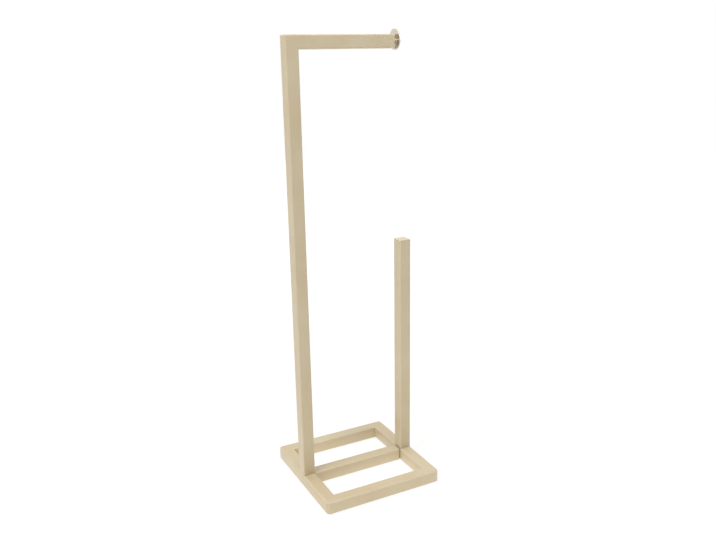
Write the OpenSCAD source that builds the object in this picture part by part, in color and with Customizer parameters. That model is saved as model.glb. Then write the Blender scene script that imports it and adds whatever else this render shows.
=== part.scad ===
// Free-standing toilet roll holder of square steel tube: a mitred base frame with a centre rail,
// a tall post with a level arm for the roll in use, and a shorter post for the spare rolls.
// Each post comes off its rail: one screw holds it, put in from below.
// Axes: +X along the roll arm, +Y to the rear, +Z up. The origin is on the floor, under the
// middle of the base.

/* [Overall] */
// Width of the base, along the roll arm
base_w = 200; // [160:1:320]
// Depth of the base, front to rear
base_d = 200; // [160:1:320]
// Height of the top of the roll arm above the floor
arm_top_h = 700; // [500:1:1000]
// Height of the top of the spare roll post above the floor
spare_h = 390; // [150:1:480]
// Length of the roll arm, from the outer face of the tall post
arm_l = 172; // [120:1:300]

/* [Tube] */
// Width of the square tube
tube_w = 20; // [19:0.5:30]
// Wall of the tube
tube_wall = 1.2; // [0.8:0.1:1.6]
// Outer corner radius of the tube
tube_r = 2; // [1.8:0.1:4]
// Radius to which the outer corner between the tall post and the arm is ground
ground_r = 1.5; // [0.5:0.1:3]
// Outer radius of the base's four corners, seen from above
corner_r = 6; // [2:0.5:8]
// Open seam between the right end of the centre rail and the right rail
seam = 1.5; // [0:0.1:2]
// Thickness of the cap on the spare roll post
cap_t = 2; // [1.5:0.1:4]
// Rounding of the cap's upper edges
cap_edge_r = 1; // [0.4:0.1:1.4]

/* [Feet] */
// Diameter of a non-slip pad
pad_d = 14; // [8:0.5:16]
// Thickness of a non-slip pad
pad_t = 1.2; // [0.8:0.1:3]
// Distance of a pad's edge from the two outer faces at its corner
pad_inset = 3; // [2:0.5:8]

/* [Post fixings] */
// Thickness of the foot plate in the lower end of each post
foot_plate_t = 3; // [2:0.5:5]
// Thread diameter of a post screw
post_screw_d = 6; // [5:0.5:7]
// Length of a post screw under its head
post_screw_l = 16; // [14:1:30]
// Diameter of a post screw's head
post_head_d = 10; // [9.5:0.5:12]
// Height of a post screw's head
post_head_h = 6; // [5:0.5:8]
// Width across flats of the socket in a post screw's head
post_socket_w = 5; // [4:0.5:6]
// Depth of the socket in a post screw's head
post_socket_depth = 3; // [2:0.5:4]
// Outer diameter of a flat washer
washer_d = 12; // [10.5:0.5:14]
// Thickness of a flat washer
washer_t = 1.6; // [1:0.1:2]
// Outer diameter of a spring washer
spring_washer_d = 11; // [10:0.5:14]
// Thickness of a spring washer, pressed flat
spring_washer_t = 1.5; // [1:0.1:2]
// Width of the slit in a spring washer
spring_washer_slit = 1; // [0.5:0.1:2]
// Width across flats of a weld nut
nut_w = 10; // [9.5:0.5:12]
// Height of a weld nut
nut_h = 5; // [4:0.5:6]
// Play of a screw in its clearance hole, on the diameter
hole_play = 0.6; // [0.2:0.1:1]
// Room round the flat washer in its access hole, on the diameter
access_play = 2; // [1:0.1:2.5]

/* [Roll stop] */
// Diameter of the roll stop disc
disc_d = 31; // [24:0.5:40]
// Thickness of the roll stop disc
disc_t = 2; // [1.2:0.1:3]
// Rounding of the disc's rim
disc_edge_r = 0.5; // [0.2:0.05:0.5]
// Rise of the disc's centre above the middle of the arm
disc_rise = 3; // [0:0.1:5]
// Diameter of the spacer between the arm and the disc
spacer_d = 8; // [8:0.5:14]
// Length of the spacer
spacer_l = 5; // [2:0.5:10]
// Thickness of the end plate in the free end of the arm
arm_plate_t = 3; // [2:0.5:6]
// Thread diameter of the roll stop screw
stop_screw_d = 5; // [4:0.5:6]
// Length of the roll stop screw under its head
stop_screw_l = 12; // [10:1:25]
// Diameter of the roll stop screw's head
stop_head_d = 9.5; // [8:0.5:12]
// Height of the roll stop screw's head
stop_head_h = 2.75; // [2:0.25:4]
// Radius of the edge round the roll stop screw's head
stop_head_r = 1.5; // [0.5:0.1:1.9]
// Width across flats of the socket in the roll stop screw's head
stop_socket_w = 3; // [2.5:0.5:4]
// Depth of the socket in the roll stop screw's head
stop_socket_depth = 1.5; // [1:0.1:1.8]

/* [Hidden] */

// Overrun of every cut past the faces that it goes through
cut = 1;
// Play of a thread in its nut or plate, on the diameter
thread_play = 0.1;
// Facets of a full circle where it is drawn as a mesh
round_fn = 64;

// Inside of the tube
bore_w = tube_w - 2 * tube_wall;
bore_r = tube_r - tube_wall;
// Levels of the base, from the floor up
rail_z = pad_t;
base_top_z = rail_z + tube_w;
// Centre lines of the posts, the rails and the arm
post_x = base_w / 2 - tube_w / 2;
rail_y = base_d / 2 - tube_w / 2;
arm_z = arm_top_h - tube_w / 2;
// Inner faces of the base frame
inner_x = base_w / 2 - tube_w;
inner_y = base_d / 2 - tube_w;
// End faces along the arm, one piece after the other
arm_end_x = arm_l - base_w / 2;
disc_x = arm_end_x + spacer_l;
stop_head_x = disc_x + disc_t;
// Seats of the post fixings, from the rail's upper wall down
washer_top_z = base_top_z - tube_wall;
spring_washer_top_z = washer_top_z - washer_t;
head_top_z = spring_washer_top_z - spring_washer_t;
// Holes
post_hole_d = post_screw_d + hole_play;
access_hole_d = washer_d + access_play;
stop_hole_d = stop_screw_d + hole_play;
// Centre of a pad, from the middle of the base
pad_x = base_w / 2 - pad_inset - pad_d / 2;
pad_y = base_d / 2 - pad_inset - pad_d / 2;

coat = "#d3c6ab";
nickel = "#d4ccbf";
zinc = "#b9bcbf";
foam = "#dcdcd8";

// Flat shapes

// Rectangle with round corners, about the origin
module round_rect(w, d, r) {
    square([w - 2 * r, d], center = true);
    square([w, d - 2 * r], center = true);
    for (x = [-1, 1], y = [-1, 1])
        translate([x * (w / 2 - r), y * (d / 2 - r)])
            circle(r = r, $fn = round_fn);
}

// What a round corner of radius r at the origin takes off, where the material lies at +X and +Y
module corner_waste(r) {
    difference() {
        translate([-cut, -cut]) square(r + cut);
        translate([r, r]) circle(r = r, $fn = round_fn);
    }
}

// Square tube along +Z, its lower end at the origin
module tube(l) {
    difference() {
        linear_extrude(l) round_rect(tube_w, tube_w, tube_r);
        translate([0, 0, -cut])
            linear_extrude(l + 2 * cut) round_rect(bore_w, bore_w, bore_r);
    }
}

// Plate that fills the bore of the tube, its lower face at the origin, with one hole
module bore_plate(t, hole_d) {
    difference() {
        linear_extrude(t) round_rect(bore_w, bore_w, bore_r);
        translate([0, 0, -cut]) cylinder(d = hole_d, h = t + 2 * cut, $fn = round_fn);
    }
}

// Base frame

// Outline of the base with its round corners, moved in all round by the inset
module base_outline(inset) {
    translate([0, 0, rail_z - cut])
        linear_extrude(tube_w + 2 * cut)
            round_rect(base_w - 2 * inset, base_d - 2 * inset, corner_r - inset);
}

// A rail of the base from its middle, the turn that lays +Z along it, its length, and the points
// of its mitred outline seen from above. Round the corners of the base its wall stays as thick as
// the tube's.
module mitred_rail(middle, turn, l, points) {
    difference() {
        intersection() {
            translate(middle) rotate(turn) translate([0, 0, -l / 2])
                linear_extrude(l) round_rect(tube_w, tube_w, tube_r);
            translate([0, 0, rail_z - cut])
                linear_extrude(tube_w + 2 * cut) polygon(points);
            base_outline(0);
        }
        intersection() {
            translate(middle) rotate(turn) translate([0, 0, -l / 2])
                linear_extrude(l) round_rect(bore_w, bore_w, bore_r);
            base_outline(tube_wall);
        }
    }
}

// A rail along X, on the front side or, with side = 1, on the rear side
module cross_rail(side) {
    color(coat)
        mitred_rail([0, side * rail_y, rail_z + tube_w / 2], [0, 90, 0], base_w, [
            [-base_w / 2, side * base_d / 2], [base_w / 2, side * base_d / 2],
            [inner_x, side * inner_y], [-inner_x, side * inner_y],
        ]);
}

// A rail along Y, on the left side or, with side = 1, on the right side, with a clearance hole in
// its upper wall and an access hole in its lower wall
module side_rail(side) {
    color(coat)
        difference() {
            mitred_rail([side * post_x, 0, rail_z + tube_w / 2], [90, 0, 0], base_d, [
                [side * base_w / 2, -base_d / 2], [side * base_w / 2, base_d / 2],
                [side * inner_x, inner_y], [side * inner_x, -inner_y],
            ]);
            translate([side * post_x, 0, base_top_z - tube_w / 2])
                cylinder(d = post_hole_d, h = tube_w / 2 + cut, $fn = round_fn);
            translate([side * post_x, 0, rail_z - cut])
                cylinder(d = access_hole_d, h = tube_w / 2, $fn = round_fn);
        }
}

// Rail along X across the middle, welded to the left rail, its right end a seam short of the other
module centre_rail() {
    color(coat)
        translate([-inner_x, 0, rail_z + tube_w / 2])
            rotate([0, 90, 0]) tube(2 * inner_x - seam);
}

// Posts and arm

// The elbow's outer corner, ground round, cut through along Y
module elbow_waste() {
    translate([-base_w / 2, tube_w / 2 + cut, arm_top_h])
        rotate([90, 0, 0])
            linear_extrude(tube_w + 2 * cut)
                mirror([0, 1]) corner_waste(ground_r);
}

// Side view of a mitred piece, through the whole width of the tube
module elbow_side(points) {
    translate([0, tube_w / 2 + cut, 0])
        rotate([90, 0, 0])
            linear_extrude(tube_w + 2 * cut) polygon(points);
}

module tall_post() {
    color(coat)
        difference() {
            intersection() {
                translate([-post_x, 0, base_top_z]) tube(arm_top_h - base_top_z);
                elbow_side([
                    [-base_w / 2, base_top_z], [-base_w / 2, arm_top_h],
                    [-inner_x, arm_top_h - tube_w], [-inner_x, base_top_z],
                ]);
            }
            elbow_waste();
        }
}

module roll_arm() {
    color(coat)
        difference() {
            intersection() {
                translate([-base_w / 2, 0, arm_z]) rotate([0, 90, 0]) tube(arm_l);
                elbow_side([
                    [-base_w / 2, arm_top_h], [arm_end_x, arm_top_h],
                    [arm_end_x, arm_top_h - tube_w], [-inner_x, arm_top_h - tube_w],
                ]);
            }
            elbow_waste();
        }
}

module spare_post() {
    color(coat)
        translate([post_x, 0, base_top_z]) tube(spare_h - cap_t - base_top_z);
}

// Plate on the post's upper end, as wide as the tube, with its upper edges rounded
module spare_post_cap() {
    color(coat)
        translate([post_x, 0, spare_h - cap_t])
            difference() {
                linear_extrude(cap_t) round_rect(tube_w, tube_w, tube_r);
                for (turn = [0:90:270])
                    rotate([0, 0, turn])
                        translate([-tube_w / 2, tube_w / 2 + cut, cap_t])
                            rotate([90, 0, 0])
                                linear_extrude(tube_w + 2 * cut)
                                    mirror([0, 1]) corner_waste(cap_edge_r);
            }
}

// Fixings in the foot of a post, at side = -1 for the tall post and 1 for the spare roll post

module foot_plate(side) {
    color(coat)
        translate([side * post_x, 0, base_top_z])
            bore_plate(foot_plate_t, post_screw_d + thread_play);
}

module weld_nut(side) {
    color(zinc)
        translate([side * post_x, 0, base_top_z + foot_plate_t])
            difference() {
                cylinder(d = nut_w / cos(30), h = nut_h, $fn = 6);
                translate([0, 0, -cut])
                    cylinder(d = post_screw_d + thread_play, h = nut_h + 2 * cut, $fn = round_fn);
            }
}

module post_screw(side) {
    color(zinc)
        translate([side * post_x, 0, head_top_z - post_head_h])
            difference() {
                union() {
                    cylinder(d = post_head_d, h = post_head_h, $fn = round_fn);
                    cylinder(d = post_screw_d, h = post_head_h + post_screw_l, $fn = round_fn);
                }
                translate([0, 0, -cut])
                    cylinder(d = post_socket_w / cos(30), h = post_socket_depth + cut, $fn = 6);
            }
}

// Ring with its lower face at the origin
module washer_ring(outer_d, t) {
    difference() {
        cylinder(d = outer_d, h = t, $fn = round_fn);
        translate([0, 0, -cut]) cylinder(d = post_hole_d, h = t + 2 * cut, $fn = round_fn);
    }
}

module flat_washer(side) {
    color(zinc)
        translate([side * post_x, 0, washer_top_z - washer_t])
            washer_ring(washer_d, washer_t);
}

module spring_washer(side) {
    color(zinc)
        translate([side * post_x, 0, head_top_z])
            difference() {
                washer_ring(spring_washer_d, spring_washer_t);
                translate([0, -spring_washer_slit / 2, -cut])
                    cube([spring_washer_d, spring_washer_slit, spring_washer_t + 2 * cut]);
            }
}

// Roll stop

module arm_end_plate() {
    color(nickel)
        translate([arm_end_x - arm_plate_t, 0, arm_z])
            rotate([0, 90, 0]) bore_plate(arm_plate_t, stop_screw_d + thread_play);
}

module roll_stop_spacer() {
    color(nickel)
        translate([arm_end_x, 0, arm_z])
            rotate([0, 90, 0])
                difference() {
                    cylinder(d = spacer_d, h = spacer_l, $fn = round_fn);
                    translate([0, 0, -cut])
                        cylinder(d = stop_hole_d, h = spacer_l + 2 * cut, $fn = round_fn);
                }
}

// Disc with a round rim, its hole below its centre, in line with the arm
module roll_stop_disc() {
    color(nickel)
        translate([disc_x, 0, arm_z])
            rotate([0, 90, 0])
                difference() {
                    translate([-disc_rise, 0, 0])
                        rotate_extrude($fn = round_fn)
                            disc_half();
                    translate([0, 0, -cut])
                        cylinder(d = stop_hole_d, h = disc_t + 2 * cut, $fn = round_fn);
                }
}

// Half section of the disc, from its axis out
module disc_half() {
    difference() {
        square([disc_d / 2, disc_t]);
        translate([disc_d / 2, 0]) mirror([1, 0]) corner_waste(disc_edge_r);
        translate([disc_d / 2, disc_t]) mirror([1, 0]) mirror([0, 1]) corner_waste(disc_edge_r);
    }
}

module roll_stop_screw() {
    color(nickel)
        translate([stop_head_x, 0, arm_z])
            rotate([0, 90, 0])
                difference() {
                    union() {
                        rotate_extrude($fn = round_fn) stop_head_half();
                        translate([0, 0, -stop_screw_l])
                            cylinder(d = stop_screw_d, h = stop_screw_l + stop_head_h / 2, $fn = round_fn);
                    }
                    translate([0, 0, stop_head_h - stop_socket_depth])
                        cylinder(d = stop_socket_w / cos(30), h = stop_socket_depth + cut, $fn = 6);
                }
}

// Half section of the button head, from its axis out
module stop_head_half() {
    difference() {
        square([stop_head_d / 2, stop_head_h]);
        translate([stop_head_d / 2, stop_head_h])
            mirror([1, 0]) mirror([0, 1]) corner_waste(stop_head_r);
    }
}

// Feet

module foot_pad(x_side, y_side) {
    color(foam)
        translate([x_side * pad_x, y_side * pad_y, 0])
            cylinder(d = pad_d, h = pad_t, $fn = round_fn);
}

cross_rail(-1);  // front_rail
cross_rail(1);  // rear_rail
side_rail(-1);  // left_rail
side_rail(1);  // right_rail
centre_rail();
tall_post();
roll_arm();
spare_post();
spare_post_cap();
foot_plate(-1);  // tall_post_foot_plate
foot_plate(1);  // spare_post_foot_plate
weld_nut(-1);  // tall_post_weld_nut
weld_nut(1);  // spare_post_weld_nut
post_screw(-1);  // tall_post_screw
post_screw(1);  // spare_post_screw
spring_washer(-1);  // tall_post_spring_washer
spring_washer(1);  // spare_post_spring_washer
flat_washer(-1);  // tall_post_flat_washer
flat_washer(1);  // spare_post_flat_washer
arm_end_plate();
roll_stop_spacer();
roll_stop_disc();
roll_stop_screw();
foot_pad(-1, -1);  // foot_pad_front_left
foot_pad(1, -1);  // foot_pad_front_right
foot_pad(-1, 1);  // foot_pad_rear_left
foot_pad(1, 1);  // foot_pad_rear_right
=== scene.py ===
# %% [markdown]
# # A free-standing toilet roll holder
#
# The holder is a welded frame of 20 mm square steel tube in a satin beige coating. A square base
# carries a tall post with a level arm for the roll in use, and a shorter post for spare rolls. A
# small nickel-plated disc keeps the roll on the arm.
#
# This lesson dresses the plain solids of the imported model. The sizes come from those solids, so a
# new piece lands exactly where the plain one was. All lengths are in metres.

# %% Load the fixed frame
import math

import bmesh
import bpy
from mathutils import Matrix, Vector


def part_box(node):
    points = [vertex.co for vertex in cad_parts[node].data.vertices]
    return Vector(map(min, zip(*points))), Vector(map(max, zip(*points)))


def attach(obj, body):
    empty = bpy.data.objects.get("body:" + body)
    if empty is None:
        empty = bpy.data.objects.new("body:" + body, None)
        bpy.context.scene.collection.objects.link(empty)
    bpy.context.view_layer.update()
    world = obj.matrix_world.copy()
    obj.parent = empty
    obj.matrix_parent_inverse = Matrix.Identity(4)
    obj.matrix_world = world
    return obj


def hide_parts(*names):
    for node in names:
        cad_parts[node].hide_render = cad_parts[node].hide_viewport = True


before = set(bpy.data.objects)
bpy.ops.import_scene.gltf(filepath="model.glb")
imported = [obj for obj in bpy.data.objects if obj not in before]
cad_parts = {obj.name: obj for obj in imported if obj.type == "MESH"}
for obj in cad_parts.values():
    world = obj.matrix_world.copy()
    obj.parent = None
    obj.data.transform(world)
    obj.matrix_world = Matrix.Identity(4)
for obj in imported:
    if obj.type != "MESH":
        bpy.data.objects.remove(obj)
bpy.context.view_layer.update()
scene = bpy.context.scene

# %% [markdown]
# ## Sizes
#
# What a box can't tell, such as the wall of the tube or the radius of its corners, is written
# once here, in millimetres, as a maker would note it.

# %% Sizes of the tube
MM = 0.001
X, Y, Z = Vector((1, 0, 0)), Vector((0, 1, 0)), Vector((0, 0, 1))


def box(node):
    """Lowest corner, highest corner and middle of a plain solid."""
    low, high = (Vector(corner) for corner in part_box(node))
    return low, high, (low + high) / 2


tube_width = box("spare_post")[1].x - box("spare_post")[0].x
tube_wall = 1.2 * MM
tube_radius = 2 * MM
base_radius = 6 * MM
elbow_radius = 1.5 * MM
saw_edge = 0.35 * MM
half = tube_width / 2
print("tube", round(tube_width / MM, 2), "mm wide")

# %% [markdown]
# ## The camera
#
# The camera stands where the photographer's stood: to the left of the holder, a little below the
# level of the arm, looking down by 17 degrees. The place was worked out from the straight edges of
# the posts and rails. The focal length and the shift are given in pixels of the photograph. The
# small vertical shift stands for the way the picture was trimmed.

# %% Camera
IMAGE_WIDTH = 716
FOCAL_PIXELS = 747.2
SHIFT_PIXELS = 12
CAMERA_PLACE = (-0.50113, -1.00347, 0.66779)
azimuth, elevation, roll = (math.radians(angle) for angle in (26.97, 16.71, -1.07))
ahead = Vector((
    math.sin(azimuth) * math.cos(elevation),
    math.cos(azimuth) * math.cos(elevation),
    -math.sin(elevation),
))
level = Vector((math.cos(azimuth), -math.sin(azimuth), 0))
above = level.cross(ahead)
right = level * math.cos(roll) + above * math.sin(roll)
top = above * math.cos(roll) - level * math.sin(roll)

camera = bpy.data.objects.new("camera", bpy.data.cameras.new("camera"))
scene.collection.objects.link(camera)
camera.matrix_world = Matrix.Translation(CAMERA_PLACE) @ Matrix(
    (right, top, -ahead)
).transposed().to_4x4()
camera.data.sensor_width = 36
camera.data.lens = FOCAL_PIXELS / IMAGE_WIDTH * camera.data.sensor_width
camera.data.shift_y = SHIFT_PIXELS / IMAGE_WIDTH
scene.camera = camera
print("lens", round(camera.data.lens, 2), "mm")

# %% [markdown]
# ## Helpers for materials
#
# Colours are written as sRGB hex values, the way a colour picker shows them, and one function
# turns them into the linear values that Blender reckons with. One more function adds a node with
# its settings and links, and serves the materials and the Geometry Nodes trees alike. The others
# give short names to the nodes that are needed again and again.


# %% Colour and node helpers
def linear(code):
    """Linear red, green, blue and alpha of an sRGB hex value."""
    parts = [int(code[i:i + 2], 16) / 255 for i in (1, 3, 5)]
    return tuple(c / 12.92 if c <= 0.04045 else ((c + 0.055) / 1.055) ** 2.4 for c in parts) + (1,)


def add(tree, kind, inputs=(), **settings):
    """Adds a node. Each input is given a value, or the socket that feeds it."""
    node = tree.nodes.new(kind)
    for name, value in settings.items():
        setattr(node, name, value)
    for name, value in dict(inputs).items():
        if isinstance(value, bpy.types.NodeSocket):
            tree.links.new(value, node.inputs[name])
        else:
            node.inputs[name].default_value = value
    return node


def reckon(tree, operation, *values):
    """Result of a sum on values and sockets."""
    return add(tree, "ShaderNodeMath", enumerate(values), operation=operation).outputs[0]


def spread(tree, value, source=(0, 1), target=(0, 1), curve="LINEAR"):
    """Value carried from one range to another, and held at the ends of both."""
    return add(tree, "ShaderNodeMapRange", {
        "Value": value, "From Min": source[0], "From Max": source[1],
        "To Min": target[0], "To Max": target[1],
    }, interpolation_type=curve).outputs["Result"]


# %% Material helpers
def noise(tree, place, size, detail=2.0):
    """Soft random pattern with features of about the given size, from 0 to 1."""
    values = {"Vector": place, "Scale": 1 / size, "Detail": detail}
    return add(tree, "ShaderNodeTexNoise", values).outputs["Fac"]


def blend(tree, share, first, second):
    """Mixture of two colours, each of them an sRGB hex value or a socket."""
    first, second = (linear(c) if isinstance(c, str) else c for c in (first, second))
    mix = add(tree, "ShaderNodeMix", {0: share, 6: first, 7: second}, data_type="RGBA")
    return mix.outputs[2]


def bump(tree, height, depth, **under):
    """Normal of a surface that a pattern raises, on top of another normal if one is given."""
    inputs = {"Height": height, "Distance": depth, "Strength": 1.0, **under}
    return add(tree, "ShaderNodeBump", inputs).outputs["Normal"]


def new_material(name):
    """Empty material, its tree and its texture coordinates on the object."""
    material = bpy.data.materials.new(name)
    material.use_nodes = True
    tree = material.node_tree
    tree.nodes.clear()
    return material, tree, add(tree, "ShaderNodeTexCoord").outputs["Object"]


def close_material(tree, inputs):
    """Ends a tree with the one surface shader that all real finishes use."""
    shader = add(tree, "ShaderNodeBsdfPrincipled", inputs).outputs[0]
    add(tree, "ShaderNodeOutputMaterial", {"Surface": shader})


# %% [markdown]
# ## Powder coat
#
# The tubes are powder coated: a dry polyester powder is sprayed on and baked to a satin film about
# 0.08 mm thick. Up close such a film has a gentle orange peel, a fine grain, and a colour that
# drifts a little with its thickness. Round the edges the film draws back while it melts, so edges
# look slightly paler. The paler edge colour is also a painted highlight, standing in for the light
# that the rounded corners catch. The eye reads all this as a soft, dry sheen without sharp
# reflections.

# %% Powder coat
COAT_WARM = "#cbb997"
COAT_PALE = "#cfc0a1"
# Colour of the corners: partly the thinner coat there, partly a painted highlight.
COAT_THIN_EDGE_AND_HIGHLIGHT = "#d8cbb0"

coat, tree, place = new_material("satin_powder_coat")
drift = spread(tree, noise(tree, place, 70 * MM, detail=3), (0.35, 0.65))
# Corners are mixed towards the paler colour: thinner coat and painted highlight in one.
edge = add(tree, "ShaderNodeAttribute", attribute_name="edge").outputs["Fac"]
thin_coat_and_highlight = reckon(tree, "MULTIPLY", edge, 0.5)
peel = bump(tree, noise(tree, place, 2.4 * MM), 0.018 * MM)
close_material(tree, {
    "Base Color": blend(tree, thin_coat_and_highlight, blend(tree, drift, COAT_WARM, COAT_PALE), COAT_THIN_EDGE_AND_HIGHLIGHT),
    "Roughness": spread(tree, noise(tree, place, 9 * MM), (0.3, 0.7), (0.28, 0.38)),
    "Normal": bump(tree, noise(tree, place, 0.5 * MM), 0.005 * MM, Normal=peel),
    "IOR": 1.5,
})
print("made", coat.name)

# %% [markdown]
# ## Nickel plate
#
# The disc, its spacer, its screw and the plate in the arm's end are polished and nickel plated.
# Nickel reflects about two thirds of the light and a little less of the blue, so it looks warmer
# than chrome. It mirrors what is near: the white room and the beige arm. The polishing wheel leaves
# hair-fine marks and a faint haze, which only soften the reflections.

# %% Nickel plate
NICKEL = "#d4ccbf"
NICKEL_HAZE = "#cac2b4"
STRETCH = (1, 1, 9)

nickel, tree, place = new_material("polished_nickel_plate")
haze = spread(tree, noise(tree, place, 5 * MM), (0.3, 0.7), (0.12, 0.20))
wheel = add(tree, "ShaderNodeMapping", {"Vector": place, "Scale": STRETCH}).outputs["Vector"]
close_material(tree, {
    "Base Color": blend(tree, haze, NICKEL, NICKEL_HAZE),
    "Metallic": 1.0,
    "Roughness": haze,
    "Normal": bump(tree, noise(tree, wheel, 1.6 * MM), 0.004 * MM),
})
print("made", nickel.name)

# %% [markdown]
# ## Zinc plate
#
# Screws, nuts and washers come from the shop with a thin zinc plating in a clear passivation. It is
# bluer and duller than nickel, with cloudy patches a few millimetres wide.

# %% Zinc plate
ZINC_LIGHT = "#c9ccce"
ZINC_DULL = "#aeb2b5"

zinc, tree, place = new_material("zinc_plate")
cloud = noise(tree, place, 3 * MM, detail=4)
close_material(tree, {
    "Base Color": blend(tree, cloud, ZINC_LIGHT, ZINC_DULL),
    "Metallic": 1.0,
    "Roughness": spread(tree, cloud, (0.3, 0.7), (0.28, 0.46)),
    "Normal": bump(tree, noise(tree, place, 0.6 * MM), 0.01 * MM),
})
print("made", zinc.name)

# %% [markdown]
# ## Foam rubber
#
# The pads are punched from a self-adhesive sheet of closed-cell foam rubber. The cells are about
# half a millimetre wide and leave a matt, finely pitted skin.

# %% Foam rubber
FOAM_LIGHT = "#dcdcd8"
FOAM_CELL = "#c2c2bd"
CELL_SIZE = 0.6 * MM

foam, tree, place = new_material("closed_cell_foam")
cells = {"Vector": place, "Scale": 1 / CELL_SIZE}
cells = add(tree, "ShaderNodeTexVoronoi", cells).outputs["Distance"]
close_material(tree, {
    "Base Color": blend(tree, cells, FOAM_CELL, FOAM_LIGHT),
    "Roughness": spread(tree, noise(tree, place, 4 * MM), target=(0.82, 0.95)),
    "Normal": bump(tree, cells, 0.05 * MM),
    "IOR": 1.5,
})
print("made", foam.name)

# %% [markdown]
# ## Helpers for meshes
#
# Nearly everything on the holder is a row of rings: a tube is one closed outline repeated along a
# line, and a washer or a screw is a circle that changes its size along an axis. So one function
# skins a row of rings with faces. A ring of a single point closes a pole, and joining the last ring
# to the first gives a hollow piece its bore.

# %% Skin a row of rings
SHARP = 35


def skin(rings, looped=False):
    """Faces from each ring of points to the next, and from the last to the first if looped."""
    shape = bmesh.new()
    rows = [[shape.verts.new(point) for point in ring] for ring in rings]
    for near, far in zip(rows, rows[1:] + rows[:1] if looped else rows[1:]):
        for i in range(max(len(near), len(far))):
            here = near[i % len(near)], near[(i + 1) % len(near)]
            there = far[(i + 1) % len(far)], far[i % len(far)]
            corners = list(dict.fromkeys(here + there))
            if len(corners) > 2:
                shape.faces.new(corners)
    bmesh.ops.recalc_face_normals(shape, faces=shape.faces)
    return shape


def make(name, shape, material, sharp=SHARP):
    """Object from a mesh in the making, smooth except over edges sharper than so many degrees."""
    mesh = bpy.data.meshes.new(name)
    shape.to_mesh(mesh)
    shape.free()
    mesh.materials.append(material)
    mesh.shade_smooth()
    mesh.set_sharp_from_angle(angle=math.radians(sharp))
    piece = bpy.data.objects.new(name, mesh)
    scene.collection.objects.link(piece)
    return piece


def baked(piece):
    """The piece with its modifiers turned into plain mesh."""
    graph = bpy.context.evaluated_depsgraph_get()
    mesh = bpy.data.meshes.new_from_object(piece.evaluated_get(graph))
    piece.modifiers.clear()
    piece.data = mesh
    mesh.name = piece.name
    return piece


def declare(piece, slot, *nodes):
    """The piece rides on the one body and hides the plain solids that it stands for. slot is not
    used.
    """
    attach(piece, "root")
    if nodes:
        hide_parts(*nodes)
    print(piece.name, len(piece.data.polygons), "faces")


# %% [markdown]
# ## Square tubes
#
# Welded steel tube has rounded corners, because it is rolled from a strip. The outline below goes
# round such a square. Each corner has a guard point on either side, which keeps the smooth shading
# of the corner from creeping into the flats. At a mitre the tube is cut at 45 degrees, so each
# point of the outline starts as much later as it lies farther in. Where two tubes were welded, the
# grinder left a round corner. A line farther in turns that corner more tightly, just as the lanes
# of a road do, so the soft edge of the tube runs round the corner unbroken.

# %% Outline
CORNER_STEPS = 6
GUARD = 0.5 * MM


def outline(width, radius):
    """Points round a square with round corners, as pairs across and up."""
    reach = width / 2 - radius
    points = []
    for quarter in range(4):
        turn = Matrix.Rotation(math.radians(90 * quarter), 2)
        arc = [Vector((reach + radius, reach - GUARD))]
        for k in range(CORNER_STEPS + 1):
            angle = math.radians(90 * k / CORNER_STEPS)
            arc.append(Vector((reach + radius * math.cos(angle), reach + radius * math.sin(angle))))
        arc.append(Vector((reach - GUARD, reach + radius)))
        points += [turn @ point for point in arc]
    return points


def pull_in(point, inset, corners):
    """The point, moved in where it lies outside a round corner of two welded tubes."""
    for (i, j), centre, signs, radius in corners:
        away = Vector((point[i] - centre[0], point[j] - centre[1]))
        reach = max(0, radius - inset)
        if away.x * signs[0] > 0 and away.y * signs[1] > 0 and away.length > reach:
            away *= reach / away.length
            point[i], point[j] = centre[0] + away.x, centre[1] + away.y
    return point


# %% [markdown]
# A saw-cut end of a tube has its sharp edge broken by a small quarter circle. Near both ends the
# rings stand close together, so that the round corners of the welded frame come out smooth.

# %% Tube
EDGE_STEPS = 3
END_ROWS = [distance * MM for distance in (0, 0.5, 1, 1.5, 2.2, 3, 3.8, 4.6, 5.4, 6.2, 7)]
EDGE_SPAN = 0.7


def tube(name, start, along, across, length, mitres=(False, False), corners=(), cutters=()):
    """Square tube from the middle of its start. A mitred end is longest on the low side across."""
    up = along.cross(across)

    def row(width, radius, distance, far):
        ring = []
        for u, v in outline(width, radius):
            late = u + half if mitres[far] else 0
            s = length - late - distance if far else late + distance
            ring.append(pull_in(start + along * s + across * u + up * v, u + half, corners))
        return ring

    def rows(width, radius, edge):
        ends = [[], []]
        for far in (False, True):
            broken = edge and not mitres[far]
            for k in range(EDGE_STEPS + 1 if broken else 0):
                angle = math.radians(90 * k / EDGE_STEPS)
                inset, distance = edge * (1 - math.sin(angle)), edge * (1 - math.cos(angle))
                ends[far].append(row(width - 2 * inset, radius - inset, distance, far))
            for distance in END_ROWS[1 if broken else 0:]:
                ends[far].append(row(width, radius, distance, far))
        return ends[0] + ends[1][::-1]

    outside = rows(tube_width, tube_radius, saw_edge)
    bore = rows(tube_width - 2 * tube_wall, tube_radius - tube_wall, 0)
    piece = make(name, skin(outside + bore[::-1], looped=True), coat)
    for cutter in cutters:
        cut = piece.modifiers.new("cut", "BOOLEAN")
        cut.operation, cut.solver, cut.object = "DIFFERENCE", "EXACT", cutter
    if cutters:
        baked(piece)
        for cutter in cutters:
            bpy.data.objects.remove(cutter)
        piece.data.set_sharp_from_angle(angle=math.radians(SHARP))
    mark_edges(piece, start, across, up)
    return piece


def mark_edges(piece, start, across, up):
    """Attribute that is 1 along the middle of the tube's corners and 0 on its flats."""
    flat = half - tube_radius
    values = []
    for vertex in piece.data.vertices:
        offset = vertex.co - start
        inner = min(abs(offset.dot(across)), abs(offset.dot(up)))
        values.append(min(1, max(0, (inner - flat) / (EDGE_SPAN * tube_radius))))
    piece.data.attributes.new("edge", "FLOAT", "POINT").data.foreach_set("value", values)


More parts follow.
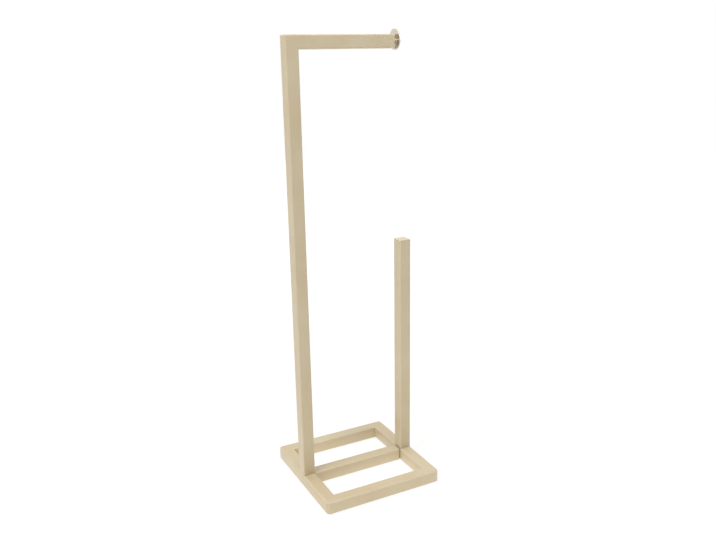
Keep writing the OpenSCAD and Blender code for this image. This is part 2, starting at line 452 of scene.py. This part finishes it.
# %% [markdown]
# ## The base frame
#
# Four rails meet in mitres at the corners. Their centre lines run half a tube inside the outline of
# the base. Each side rail has a clearance hole in its upper wall for the screw of a post, and a
# larger hole below it that lets the screw and its washers in. The holes are cut with cylinders,
# which is quicker to read than building the flats round a hole, and gives the same shape.

# %% Sizes of the base frame
SCREW_HOLE = 6.6 * MM
ACCESS_HOLE = 14 * MM
CUTTER_SIDES = 64

base_low = Vector((box("left_rail")[0].x, box("front_rail")[0].y, box("left_rail")[0].z))
base_high = Vector((box("right_rail")[1].x, box("rear_rail")[1].y, box("left_rail")[1].z))
rail_length = base_high.x - base_low.x
rail_z = (base_low.z + base_high.z) / 2
post_x = box("spare_post")[2].x
base_corners = []
for sx in (-1, 1):
    for sy in (-1, 1):
        centre = (sx * (base_high.x - base_radius), sy * (base_high.y - base_radius))
        base_corners.append(((0, 1), centre, (sx, sy), base_radius))
print("base", round(rail_length / MM, 2), "mm wide, posts", round(post_x / MM, 2), "mm out")


def rod(name, centre, diameter, height):
    """Upright cylinder, used as a cutter."""
    shape = bmesh.new()
    bmesh.ops.create_cone(
        shape, cap_ends=True, segments=CUTTER_SIDES, radius1=diameter / 2, radius2=diameter / 2,
        depth=height, matrix=Matrix.Translation(centre),
    )
    return make(name, shape, coat)


# %% Rails
BOTH = (True, True)
for name, sy in (("front_rail", -1), ("rear_rail", 1)):
    start = Vector((base_low.x, sy * (base_high.y - half), rail_z))
    piece = tube(name + "_tube", start, X, -sy * Y, rail_length, BOTH, base_corners)
    declare(piece, "coat", name)
for name, sx in (("left_rail", -1), ("right_rail", 1)):
    start = Vector((sx * post_x, base_low.y, rail_z))
    cutters = [
        rod("upper_cutter", (sx * post_x, 0, base_high.z), SCREW_HOLE, half),
        rod("lower_cutter", (sx * post_x, 0, base_low.z), ACCESS_HOLE, half),
    ]
    piece = tube(name + "_tube", start, Y, -sx * X, rail_length, BOTH, base_corners, cutters)
    declare(piece, "coat", name)

low, high, middle = box("centre_rail")
piece = tube("centre_rail_tube", Vector((low.x, middle.y, middle.z)), X, Y, high.x - low.x)
declare(piece, "coat", "centre_rail")

# %% [markdown]
# ## Posts and arm
#
# The tall post and the arm meet in one more mitre, with its outer corner ground round. The spare
# roll post is cut square and closed with a small plate, whose upper edges are rounded. Where a
# saw-cut end stands on a rail, its broken edge leaves a fine shadow line. The plates welded inside
# the posts keep their plain solids and get the coat. The plate in the arm's end keeps its solid
# too, but is plated like the roll stop that it holds.

# %% Posts and arm
low, middle = box("tall_post")[0], box("tall_post")[2]
arm_end, arm_top = box("roll_arm")[1].x, box("roll_arm")[1].z
arm_z = arm_top - half
elbow = [((0, 2), (low.x + elbow_radius, arm_top - elbow_radius), (-1, 1), elbow_radius)]
foot = Vector((middle.x, 0, low.z))
piece = tube("tall_post_tube", foot, Z, X, arm_top - low.z, (False, True), elbow)
declare(piece, "coat", "tall_post")
turn = Vector((low.x, 0, arm_z))
piece = tube("roll_arm_tube", turn, X, -Z, arm_end - low.x, (True, False), elbow)
declare(piece, "coat", "roll_arm")

low, high, middle = box("spare_post")
piece = tube("spare_post_tube", Vector((middle.x, middle.y, low.z)), Z, X, high.z - low.z)
declare(piece, "coat", "spare_post")

for node, finish in (
    ("tall_post_foot_plate", coat), ("spare_post_foot_plate", coat), ("arm_end_plate", nickel),
):
    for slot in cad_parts[node].material_slots:
        slot.material = finish
    print(node, "in", finish.name)

# %% Cap of the spare roll post
LID_STEPS = 5
LID_EDGE = 1 * MM
LID_UNDER_EDGE = 0.15 * MM
LID_UNDER_GUARD = 0.7 * MM
LEAST_RADIUS = 0.4 * MM

low, high, middle = box("spare_post_cap")
levels = [(LID_UNDER_GUARD, low.z), (LID_UNDER_EDGE, low.z)]
levels += [(0, low.z + LID_UNDER_EDGE), (0, low.z + GUARD)]
for k in range(LID_STEPS + 1):
    angle = math.radians(90 * k / LID_STEPS)
    levels.append((LID_EDGE * (1 - math.cos(angle)), high.z - LID_EDGE * (1 - math.sin(angle))))
levels.append((LID_EDGE + GUARD, high.z))
rings = [[Vector((middle.x, middle.y, low.z))]]
for inset, z in levels:
    points = outline(tube_width - 2 * inset, max(tube_radius - inset, LEAST_RADIUS))
    rings.append([Vector((middle.x + u, middle.y + v, z)) for u, v in points])
rings.append([Vector((middle.x, middle.y, high.z))])
piece = make("spare_post_cap_plate", skin(rings), coat)
mark_edges(piece, middle, X, Y)
declare(piece, "coat", "spare_post_cap")

# %% [markdown]
# ## Turned parts
#
# Screws, nuts, washers, pads and the roll stop are made in a lathe or look as if they were. `lathe`
# turns a list of steps into rings: each step is a distance along the axis and a radius. A step may
# also be a function of the angle, which is how a hexagon gets into a round part. The profile of a
# screw runs from its tip along the shank, out over the seat of the head, round its rim and down
# into its socket, which ends in the shallow cone that a drill leaves.

# %% Lathe
SIDES = 72


def lathe(origin, axis, profile):
    """Rings of points round an axis, one for each step of distance and radius."""
    across = X if abs(axis.z) > 0.5 else Z
    up = axis.cross(across)
    rings = []
    for step in profile:
        ring = []
        for k in range(SIDES):
            angle = 2 * math.pi * k / SIDES
            along, radius = step(angle) if callable(step) else step
            outward = across * math.cos(angle) + up * math.sin(angle)
            ring.append(origin + axis * along + outward * radius)
        rings.append(ring if callable(step) or step[1] > 0 else ring[:1])
    return rings


def hexagon(width, along, chamfer=None, lean=0):
    """Step of a hexagon so wide over its flats. Past a chamfer radius it leans along the axis."""
    def step(angle):
        radius = width / 2 / math.cos(angle % math.radians(60) - math.radians(30))
        return along + (max(0, radius - chamfer) * lean if chamfer else 0), radius
    return step


def round_edge(along, radius, edge, outward, upward, steps=5):
    """Steps of a quarter circle round a corner, from the cylinder's side to its end or back."""
    for k in range(steps + 1):
        angle = math.radians(90 * (k if outward else steps - k) / steps)
        yield (
            along + (-1 if upward else 1) * edge * (1 - math.sin(angle)),
            radius - edge * (1 - math.cos(angle)),
        )


# %% [markdown]
# ## Threads and knurls
#
# A thread follows a path and a knurl repeats, so both are grown with Geometry Nodes. The thread is
# a diamond section swept along a helix round the screw's core. The knurl is a ring of upright
# ridges round a screw's head, which gives the fingers a hold. Each tree has its sizes as named
# inputs.


# %% Helpers for Geometry Nodes
def new_tree(name, **inputs):
    """Empty Geometry Nodes tree with an input for each size and for the material."""
    tree = bpy.data.node_groups.new(name, "GeometryNodeTree")
    tree.interface.new_socket("Geometry", in_out="OUTPUT", socket_type="NodeSocketGeometry")
    tree.interface.new_socket("Geometry", in_out="INPUT", socket_type="NodeSocketGeometry")
    for label, kind in inputs.items():
        tree.interface.new_socket(label, in_out="INPUT", socket_type="NodeSocket" + kind)
    tree.interface.new_socket("material", in_out="INPUT", socket_type="NodeSocketMaterial")
    return tree, add(tree, "NodeGroupInput").outputs


def close_tree(tree, geometry, material):
    """Ends a tree with real geometry in its material."""
    real = add(tree, "GeometryNodeRealizeInstances", {"Geometry": geometry}).outputs[0]
    inputs = {"Geometry": real, "Material": material}
    painted = add(tree, "GeometryNodeSetMaterial", inputs).outputs[0]
    add(tree, "NodeGroupOutput", {0: painted})


def grow(name, tree, mesh=None, **sizes):
    """Object whose mesh comes out of a tree that was run with the given sizes."""
    piece = bpy.data.objects.new(name, mesh or bpy.data.meshes.new(name))
    scene.collection.objects.link(piece)
    nodes = piece.modifiers.new("nodes", "NODES")
    nodes.node_group = tree
    for item in tree.interface.items_tree:
        if item.in_out == "INPUT" and item.name in sizes:
            nodes[item.identifier] = sizes[item.name]
    return baked(piece)


def joined(piece, extras):
    """The piece with other pieces merged into it, each first moved into place."""
    shape = bmesh.new()
    shape.from_mesh(piece.data)
    for extra, place in extras:
        extra.data.transform(place)
        shape.from_mesh(extra.data)
        bpy.data.objects.remove(extra)
    shape.to_mesh(piece.data)
    shape.free()
    return piece


# %% Thread tree
TURN_STEPS = 36

tree, sizes = new_tree("thread", radius="Float", pitch="Float", length="Float", depth="Float")
helix = add(tree, "GeometryNodeCurveSpiral", {
    "Resolution": TURN_STEPS,
    "Rotations": reckon(tree, "DIVIDE", sizes["length"], sizes["pitch"]),
    "Start Radius": sizes["radius"],
    "End Radius": sizes["radius"],
    "Height": sizes["length"],
}).outputs[0]
helix = add(tree, "GeometryNodeSetCurveNormal", {"Curve": helix}, mode="Z_UP").outputs[0]
diamond = {"Resolution": 4, "Radius": sizes["depth"]}
diamond = add(tree, "GeometryNodeCurvePrimitiveCircle", diamond).outputs[0]
swept = add(tree, "GeometryNodeCurveToMesh", {
    "Curve": helix, "Profile Curve": diamond, "Fill Caps": True,
}).outputs[0]
close_tree(tree, swept, sizes["material"])
thread_tree = tree
print("made", tree.name)

# %% Knurl tree
tree, sizes = new_tree("knurl", count="Int", radius="Float", height="Float", ridge="Float")
spots = add(tree, "GeometryNodeCurvePrimitiveCircle", {
    "Resolution": sizes["count"], "Radius": sizes["radius"],
}).outputs[0]
rib = add(tree, "GeometryNodeMeshCylinder", {
    "Vertices": 4, "Radius": sizes["ridge"], "Depth": sizes["height"],
}).outputs[0]
index = add(tree, "GeometryNodeInputIndex").outputs[0]
share = reckon(tree, "DIVIDE", index, sizes["count"])
facing = reckon(tree, "MULTIPLY", share, 2 * math.pi)
facing = add(tree, "ShaderNodeCombineXYZ", {"Z": facing}).outputs[0]
facing = add(tree, "FunctionNodeEulerToRotation", {0: facing}).outputs[0]
ribs = add(tree, "GeometryNodeInstanceOnPoints", {
    "Points": spots, "Instance": rib, "Rotation": facing,
}).outputs[0]
close_tree(tree, ribs, sizes["material"])
knurl_tree = tree
print("made", tree.name)

# %% [markdown]
# ## Post fixings
#
# Each post is held by one M6 cap screw of zinc-plated steel. It comes up through the access hole,
# with a spring washer and a flat washer under its head, passes the rail's upper wall and the foot
# plate, and bites in a nut welded on that plate. From below, only the knurled head with its hexagon
# socket and the rim of the washers show.

# %% Cap screw
M6_CORE, M6_RADIUS, M6_PITCH = 2.39 * MM, 3 * MM, 1 * MM
M6_TIP, M6_TIP_BEVEL = 1.9 * MM, 0.5 * MM
M6_LIFT, M6_RUNOUT = 0.1 * MM, 0.9 * MM
THREAD_START = 0.2 * MM
CAP_HEAD, CAP_RADIUS, CAP_EDGE = 6 * MM, 4.8 * MM, 0.5 * MM
CAP_SEAT_INSET, CAP_SEAT_BEVEL = 0.2 * MM, 0.25 * MM
CAP_SOCKET, CAP_SOCKET_MOUTH = 5 * MM, 3.1 * MM
CAP_SOCKET_BEVEL, CAP_SOCKET_DEPTH, CAP_DRILL_DEPTH = 0.15 * MM, 2.8 * MM, 3.4 * MM
KNURL_RIDGES, KNURL_RIDGE, KNURL_SINK = 44, 0.23 * MM, 0.03 * MM
KNURL_HEIGHT, KNURL_MIDDLE = 4.7 * MM, 2.9 * MM


def cap_screw(side):
    """Cap screw of a post with its head down: threaded, knurled, with a hexagon socket."""
    low, high, middle = box(side + "_screw")
    seat = Vector((middle.x, middle.y, low.z + CAP_HEAD))
    reach = high.z - seat.z
    profile = [(-reach, 0), (-reach, M6_TIP), (-reach + M6_TIP_BEVEL, M6_CORE), (0, M6_CORE)]
    profile += [(0, CAP_RADIUS - CAP_SEAT_INSET), (CAP_SEAT_BEVEL, CAP_RADIUS)]
    profile += round_edge(CAP_HEAD, CAP_RADIUS, CAP_EDGE, True, True, 3)
    profile += [(CAP_HEAD, CAP_SOCKET_MOUTH), hexagon(CAP_SOCKET, CAP_HEAD - CAP_SOCKET_BEVEL)]
    profile += [hexagon(CAP_SOCKET, CAP_HEAD - CAP_SOCKET_DEPTH), (CAP_HEAD - CAP_DRILL_DEPTH, 0)]
    piece = make(side + "_cap_screw", skin(lathe(seat, -Z, profile)), zinc, sharp=30)
    root = M6_CORE + M6_LIFT
    thread = grow(
        "thread", thread_tree, radius=root, pitch=M6_PITCH, length=reach - M6_RUNOUT,
        depth=M6_RADIUS - root, material=zinc,
    )
    knurl = grow(
        "knurl", knurl_tree, count=KNURL_RIDGES, radius=CAP_RADIUS - KNURL_SINK,
        height=KNURL_HEIGHT, ridge=KNURL_RIDGE, material=zinc,
    )
    joined(piece, [
        (thread, Matrix.Translation(seat + Z * THREAD_START)),
        (knurl, Matrix.Translation(seat - Z * KNURL_MIDDLE)),
    ])
    declare(piece, "zinc", side + "_screw")


# %% Washers
WASHER_HOLE = 3.3 * MM
WASHER_EDGE = 0.25 * MM
SPRING_RADIUS = 5.5 * MM
SPRING_SLIT = 1 * MM


def flat_washer(side):
    """Stamped washer: softly round outside, bevelled in its hole."""
    low, high, middle = box(side + "_flat_washer")
    outer, thick = (high.x - low.x) / 2, high.z - low.z
    bevel, corner = 0.3 * MM, 0.07 * MM
    profile = [(0, WASHER_HOLE + bevel), (0, outer - WASHER_EDGE), (corner, outer - corner)]
    profile += [(WASHER_EDGE, outer), (thick - WASHER_EDGE, outer)]
    profile += [(thick - corner, outer - corner), (thick, outer - WASHER_EDGE)]
    profile += [(thick, WASHER_HOLE + bevel), (thick - bevel, WASHER_HOLE), (bevel, WASHER_HOLE)]
    rings = lathe(Vector((middle.x, middle.y, low.z)), Z, profile)
    piece = make(side + "_plain_washer", skin(rings, looped=True), zinc)
    declare(piece, "zinc", side + "_flat_washer")


def spring_washer(side):
    """Spring washer, pressed flat: one turn of bevelled wire with a slit where its ends face."""
    low, high, middle = box(side + "_spring_washer")
    inner, outer, edge, thick = WASHER_HOLE, SPRING_RADIUS, WASHER_EDGE, high.z - low.z
    wire = [
        (inner, edge), (inner, thick - edge), (inner + edge, thick), (outer - edge, thick),
        (outer, thick - edge), (outer, edge), (outer - edge, 0), (inner + edge, 0),
    ]
    x = math.copysign(post_x, middle.x)
    first = math.asin(SPRING_SLIT / (inner + outer))
    rings = []
    for k in range(SIDES + 1):
        angle = first + (2 * math.pi - 2 * first) * k / SIDES
        rings.append([
            Vector((x + r * math.cos(angle), r * math.sin(angle), low.z + z)) for r, z in wire
        ])
    caps = [[sum(ring, Vector()) / len(ring)] for ring in (rings[0], rings[-1])]
    piece = make(side + "_split_washer", skin(caps[:1] + rings + caps[1:]), zinc)
    declare(piece, "zinc", side + "_spring_washer")


# %% Weld nut
NUT_WIDTH, NUT_HOLE, NUT_FLAT = 10 * MM, 3.05 * MM, 4.75 * MM
NUT_SLOPE = math.tan(math.radians(30))


def weld_nut(side):
    """Hexagon nut with the usual chamfer of 30 degrees on its corners."""
    low, high, middle = box(side + "_weld_nut")
    tall, bevel, land = high.z - low.z, 0.45 * MM, 0.1 * MM
    profile = [
        (0, NUT_HOLE + bevel), (0, NUT_FLAT), hexagon(NUT_WIDTH, land, NUT_FLAT, NUT_SLOPE),
        hexagon(NUT_WIDTH, tall - land, NUT_FLAT, -NUT_SLOPE), (tall, NUT_FLAT),
        (tall, NUT_HOLE + bevel), (tall - bevel, NUT_HOLE), (bevel, NUT_HOLE),
    ]
    rings = lathe(Vector((middle.x, middle.y, low.z)), Z, profile)
    piece = make(side + "_hex_nut", skin(rings, looped=True), zinc, sharp=25)
    declare(piece, "zinc", side + "_weld_nut")


# %% Both posts
for side in ("tall_post", "spare_post"):
    cap_screw(side)
    flat_washer(side)
    spring_washer(side)
    weld_nut(side)

# %% [markdown]
# ## Roll stop
#
# A plated disc at the end of the arm keeps the roll on. Its hole lies below its centre, so it
# stands up higher than it hangs down. A short spacer holds it clear of the arm, and a button-head
# screw goes through both into a plate in the arm's end.

# %% Spacer
STOP_HOLE = 2.8 * MM
SPACER_EDGE = 0.3 * MM

low, high, middle = box("roll_stop_spacer")
outer, long = (high.z - low.z) / 2, high.x - low.x
profile = [(0, STOP_HOLE + SPACER_EDGE)]
profile += round_edge(0, outer, SPACER_EDGE, False, False, 3)
profile += round_edge(long, outer, SPACER_EDGE, True, True, 3)
profile += [(long, STOP_HOLE + SPACER_EDGE)]
profile += [(long - SPACER_EDGE, STOP_HOLE), (SPACER_EDGE, STOP_HOLE)]
rings = lathe(Vector((low.x, middle.y, middle.z)), X, profile)
piece = make("roll_stop_collar", skin(rings, looped=True), nickel)
declare(piece, "nickel", "roll_stop_spacer")

# %% Disc
DISC_EDGE = 0.5 * MM
DISC_BEVEL = 0.2 * MM

low, high, middle = box("roll_stop_disc")
hole_axis = Vector((low.x, middle.y, arm_z))
disc_axis = Vector((low.x, middle.y, middle.z))
rim, thick = (high.y - low.y) / 2, high.x - low.x
bevelled, guard = STOP_HOLE + DISC_BEVEL, STOP_HOLE + DISC_BEVEL + GUARD
front = [(thick - DISC_BEVEL, STOP_HOLE), (thick, bevelled), (thick, guard)]
around = [(thick, rim - DISC_EDGE - GUARD)]
around += round_edge(thick, rim, DISC_EDGE, False, True, 4)
around += round_edge(0, rim, DISC_EDGE, True, False, 4)
around += [(0, rim - DISC_EDGE - GUARD)]
back = [(0, guard), (0, bevelled), (DISC_BEVEL, STOP_HOLE)]
rings = lathe(hole_axis, X, front) + lathe(disc_axis, X, around) + lathe(hole_axis, X, back)
piece = make("roll_stop_plate", skin(rings, looped=True), nickel)
declare(piece, "nickel", "roll_stop_disc")

# %% Button-head screw
M5_CORE, M5_PITCH, M5_DEPTH = 2.07 * MM, 0.8 * MM, 0.35 * MM
M5_TIP, M5_TIP_BEVEL = 1.6 * MM, 0.45 * MM
M5_LIFT, M5_RUNOUT = 0.08 * MM, 0.8 * MM
BUTTON_HEAD, BUTTON_RADIUS, BUTTON_EDGE = 2.75 * MM, 4.75 * MM, 1.5 * MM
BUTTON_SEAT_BEVEL, BUTTON_SEAT_STEP = 0.25 * MM, 0.07 * MM
BUTTON_SOCKET, BUTTON_SOCKET_MOUTH = 3 * MM, 1.95 * MM
BUTTON_SOCKET_BEVEL, BUTTON_SOCKET_DEPTH, BUTTON_DRILL_DEPTH = 0.12 * MM, 1.4 * MM, 1.6 * MM

low, high, middle = box("roll_stop_screw")
seat = Vector((high.x - BUTTON_HEAD, middle.y, middle.z))
reach = seat.x - low.x
profile = [(-reach, 0), (-reach, M5_TIP), (-reach + M5_TIP_BEVEL, M5_CORE), (0, M5_CORE)]
profile += [(0, BUTTON_RADIUS - BUTTON_SEAT_BEVEL)]
profile += [(BUTTON_SEAT_STEP, BUTTON_RADIUS - BUTTON_SEAT_STEP)]
profile += [(BUTTON_SEAT_BEVEL, BUTTON_RADIUS)]
profile += round_edge(BUTTON_HEAD, BUTTON_RADIUS, BUTTON_EDGE, True, True, 7)
profile += [
    (BUTTON_HEAD, BUTTON_SOCKET_MOUTH),
    hexagon(BUTTON_SOCKET, BUTTON_HEAD - BUTTON_SOCKET_BEVEL),
    hexagon(BUTTON_SOCKET, BUTTON_HEAD - BUTTON_SOCKET_DEPTH),
    (BUTTON_HEAD - BUTTON_DRILL_DEPTH, 0),
]
piece = make("roll_stop_button_screw", skin(lathe(seat, X, profile)), nickel, sharp=30)
thread = grow(
    "thread", thread_tree, radius=M5_CORE + M5_LIFT, pitch=M5_PITCH, length=reach - M5_RUNOUT,
    depth=M5_DEPTH, material=nickel,
)
laid = Matrix.Rotation(math.radians(-90), 4, "Y")
joined(piece, [(thread, Matrix.Translation(seat - X * THREAD_START) @ laid)])
declare(piece, "nickel", "roll_stop_screw")

# %% [markdown]
# ## Pads
#
# Four soft pads keep the steel off the floor. The weight of the holder makes their sides bulge a
# little.

# %% Pads
PAD_EDGE = 0.5 * MM
PAD_BULGE = 0.25 * MM

for corner in ("front_left", "front_right", "rear_left", "rear_right"):
    low, high, middle = box("foot_pad_" + corner)
    wide, thick = (high.x - low.x) / 2, high.z - low.z
    profile = [(0, 0), (0, wide - PAD_EDGE)]
    for degrees in range(-80, 81, 20):
        angle = math.radians(degrees)
        along, pulled = thick * (1 + math.sin(angle)) / 2, PAD_BULGE * (1 - math.cos(angle))
        profile.append((along, wide - pulled))
    profile += [(thick, wide - PAD_EDGE), (thick, 0)]
    rings = lathe(Vector((middle.x, middle.y, low.z)), Z, profile)
    declare(make(corner + "_foam_pad", skin(rings), foam), "pad", "foot_pad_" + corner)

# %% [markdown]
# ## Weld beads
#
# The outer faces of the joints are ground flush before coating, but a grinder doesn't reach into
# the inner corners, so a thin bead stays there. A bead follows a path, so it too is grown: the path
# is cut into short steps, and the bead's thickness rises and falls as each drop of steel froze. A
# soft noise makes the drops uneven, and the bead thins out towards both of its ends.

# %% Bead tree
RIPPLE_STEPS = 6
DROP_SWELL = 0.08
UNEVEN_SIZE = 4 * MM

tree, sizes = new_tree("weld_bead", radius="Float", ripple="Float", seed="Float")
path = add(tree, "GeometryNodeMeshToCurve", {"Mesh": sizes["Geometry"]}).outputs[0]
step = reckon(tree, "DIVIDE", sizes["ripple"], RIPPLE_STEPS)
path = {"Curve": path, "Length": step}
path = add(tree, "GeometryNodeResampleCurve", path, mode="LENGTH").outputs[0]
travel = add(tree, "GeometryNodeSplineParameter").outputs

phase = reckon(tree, "DIVIDE", travel["Length"], sizes["ripple"])
wave = reckon(tree, "SINE", reckon(tree, "MULTIPLY", phase, 2 * math.pi))
drops = reckon(tree, "MULTIPLY_ADD", wave, DROP_SWELL, 1 - DROP_SWELL)
uneven = add(tree, "ShaderNodeTexNoise", {
    "W": sizes["seed"], "Scale": 1 / UNEVEN_SIZE, "Detail": 1.0,
}, noise_dimensions="4D").outputs["Fac"]
drops = reckon(tree, "MULTIPLY", drops, spread(tree, uneven, target=(0.75, 1.15)))
rest = reckon(tree, "SUBTRACT", 1.0, travel["Factor"])
ends = reckon(tree, "MINIMUM", travel["Factor"], rest)
taper = spread(tree, ends, (0, 0.06), (0.3, 1), "SMOOTHSTEP")
swell = reckon(tree, "MULTIPLY", drops, taper)

section = {"Resolution": 12, "Radius": sizes["radius"]}
section = add(tree, "GeometryNodeCurvePrimitiveCircle", section).outputs[0]
bead = add(tree, "GeometryNodeCurveToMesh", {
    "Curve": path, "Profile Curve": section, "Scale": swell, "Fill Caps": True,
}).outputs[0]
close_tree(tree, bead, sizes["material"])
bead_tree = tree
print("made", tree.name)

# %% [markdown]
# The beads sit at the inner corners of the base, on both sides of the centre rail's left end, and
# under the elbow. Each bead's middle line lies inside the steel, so only a third of it shows.

# %% Beads
BEAD_RADIUS, BEAD_RIPPLE, BEAD_SINK = 1.2 * MM, 1.1 * MM, 0.35 * MM
BEAD_BOTTOM, BEAD_TOP = 1.5 * MM, 1.9 * MM

inner_x, inner_y = base_high.x - tube_width, base_high.y - tube_width
bottom, peak = base_low.z + BEAD_BOTTOM, base_high.z - BEAD_TOP
lines = {}
for y_name, sy in (("front", -1), ("rear", 1)):
    for x_name, sx in (("left", -1), ("right", 1)):
        spot = (sx * (inner_x + BEAD_SINK), sy * (inner_y + BEAD_SINK))
        lines["base_%s_%s" % (y_name, x_name)] = [(*spot, bottom), (*spot, peak)]
    spot = (-inner_x - BEAD_SINK, sy * (half + BEAD_SINK))
    lines["centre_%s" % y_name] = [(*spot, bottom), (*spot, peak)]
under = arm_top - tube_width + BEAD_SINK
lines["elbow"] = [(-inner_x - BEAD_SINK, sy * (half - BEAD_TOP), under) for sy in (-1, 1)]
for seed, (name, line) in enumerate(lines.items()):
    path = bpy.data.meshes.new(name)
    path.from_pydata(line, [(0, 1)], [])
    piece = grow(
        name + "_weld_bead", bead_tree, path, radius=BEAD_RADIUS, ripple=BEAD_RIPPLE, seed=seed,
        material=coat,
    )
    piece.data.shade_smooth()
    declare(piece, "coat")

# %% [markdown]
# ## Floor, world and lamps
#
# The photograph is lit as shop pictures are. A soft box hangs high above the holder, so its arm and
# its base get nearly the same light. A large lamp stands high to the left, and a weak one stands
# near, in front of the arm. Two more lamps stand behind and to the right, and light the sides that
# the photograph doesn't show. They stay well above the arm, because the plated disc mirrors what is
# level with it or lower, and a lamp there would turn it as white as the background.
#
# The floor and the world are white for the camera and for mirrors. Near the holder a part of the
# floor's white comes from lit paint, so a faint soft shadow stays there. Farther out it is all a
# plain glow, so no horizon shows. Rays that carry soft light also meet a glow on the floor, which
# stands for the light that a brightly lit floor throws back up. It is strongest next to the base,
# so the rails and the feet of the posts look brighter than the middle of the posts.
#
# The floor is one-sided, like the glass table of a photographer: seen from below it is clear, so
# the pads and the screws under the base can be looked at. It lies a hair below the pads, because
# two faces in one plane would flicker.


# %% Rays that see the white studio
def studio_rays(tree):
    """1 for a ray from the camera, a mirror or glass, else 0; and 1 for a ray of soft light."""
    path = add(tree, "ShaderNodeLightPath").outputs
    seen = reckon(tree, "MAXIMUM", path["Is Camera Ray"], path["Is Glossy Ray"])
    seen = reckon(tree, "MAXIMUM", seen, path["Is Transmission Ray"])
    return seen, path["Is Diffuse Ray"]


# %% Floor
FLOOR_PAINT = "#f2f2f1"
FLOOR_GLOW = 1.1
GLOW_SHARE = (0.7, 1)
THROWN_BACK = (0.48, 0.15)
FLOOR_SIZE = 4
FLOOR_Z = -0.05 * MM

floor_mat, tree, place = new_material("white_floor")
seen, soft = studio_rays(tree)
distance = add(tree, "ShaderNodeVectorMath", {0: place}, operation="LENGTH").outputs["Value"]
share = spread(tree, distance, (0.25, 1.2), GLOW_SHARE, "SMOOTHSTEP")
share = reckon(tree, "MULTIPLY", seen, share)
paint = add(tree, "ShaderNodeBsdfDiffuse", {"Color": linear(FLOOR_PAINT)}).outputs[0]
glow = add(tree, "ShaderNodeEmission", {"Strength": FLOOR_GLOW}).outputs[0]
floor_light = add(tree, "ShaderNodeMixShader", {0: share, 1: paint, 2: glow}).outputs[0]
thrown = spread(tree, distance, (0.1, 0.9), THROWN_BACK, "SMOOTHSTEP")
thrown = reckon(tree, "MULTIPLY", soft, thrown)
back = add(tree, "ShaderNodeEmission", {"Strength": thrown}).outputs[0]
floor_light = add(tree, "ShaderNodeAddShader", {0: floor_light, 1: back}).outputs[0]
below = add(tree, "ShaderNodeNewGeometry").outputs["Backfacing"]
clear = add(tree, "ShaderNodeBsdfTransparent").outputs[0]
one_sided = add(tree, "ShaderNodeMixShader", {0: below, 1: floor_light, 2: clear}).outputs[0]
add(tree, "ShaderNodeOutputMaterial", {"Surface": one_sided})

shape = bmesh.new()
lowered = Matrix.Translation((0, 0, FLOOR_Z))
bmesh.ops.create_grid(shape, x_segments=1, y_segments=1, size=FLOOR_SIZE, matrix=lowered)
floor = make("floor", shape, floor_mat)
print("made", floor.name)

# %% World
AMBIENT = 0.04

world = bpy.data.worlds.new("white_room")
scene.world = world
world.use_nodes = True
tree = world.node_tree
tree.nodes.clear()
seen, soft = studio_rays(tree)
white = {"Color": linear("#ffffff")}
ambient = add(tree, "ShaderNodeBackground", {**white, "Strength": AMBIENT}).outputs[0]
bright = add(tree, "ShaderNodeBackground", {**white, "Strength": 1.0}).outputs[0]
room = add(tree, "ShaderNodeMixShader", {0: seen, 1: ambient, 2: bright}).outputs[0]
add(tree, "ShaderNodeOutputWorld", {"Surface": room})
scene.view_settings.view_transform = "Standard"
print("made", world.name)


# %% Lamps
def lamp(name, place, aim, size, watts):
    """Square soft lamp at a place, turned towards a point, and out of the camera's sight."""
    light = bpy.data.lights.new(name, "AREA")
    light.size = size
    light.energy = watts
    stand = bpy.data.objects.new(name, light)
    stand.location = place
    stand.rotation_euler = (Vector(aim) - Vector(place)).to_track_quat("-Z", "Y").to_euler()
    stand.visible_camera = False
    scene.collection.objects.link(stand)
    print(name, watts, "W")


lamp("soft_box", place=(0, 0, 2.6), aim=(0, 0, 0), size=1.6, watts=31)
lamp("key_lamp", place=(-2.2, -0.8, 2.4), aim=(0, 0, 0.35), size=1.6, watts=54)
lamp("front_lamp", place=(0.5, -1.35, 1.15), aim=(0, 0, 0.65), size=1.1, watts=6.8)
lamp("rear_lamp", place=(-0.8, 2.1, 2.0), aim=(0, 0, 0.35), size=1.4, watts=14)
lamp("right_lamp", place=(2.2, 0.3, 1.6), aim=(0, 0, 0.35), size=1.5, watts=13)
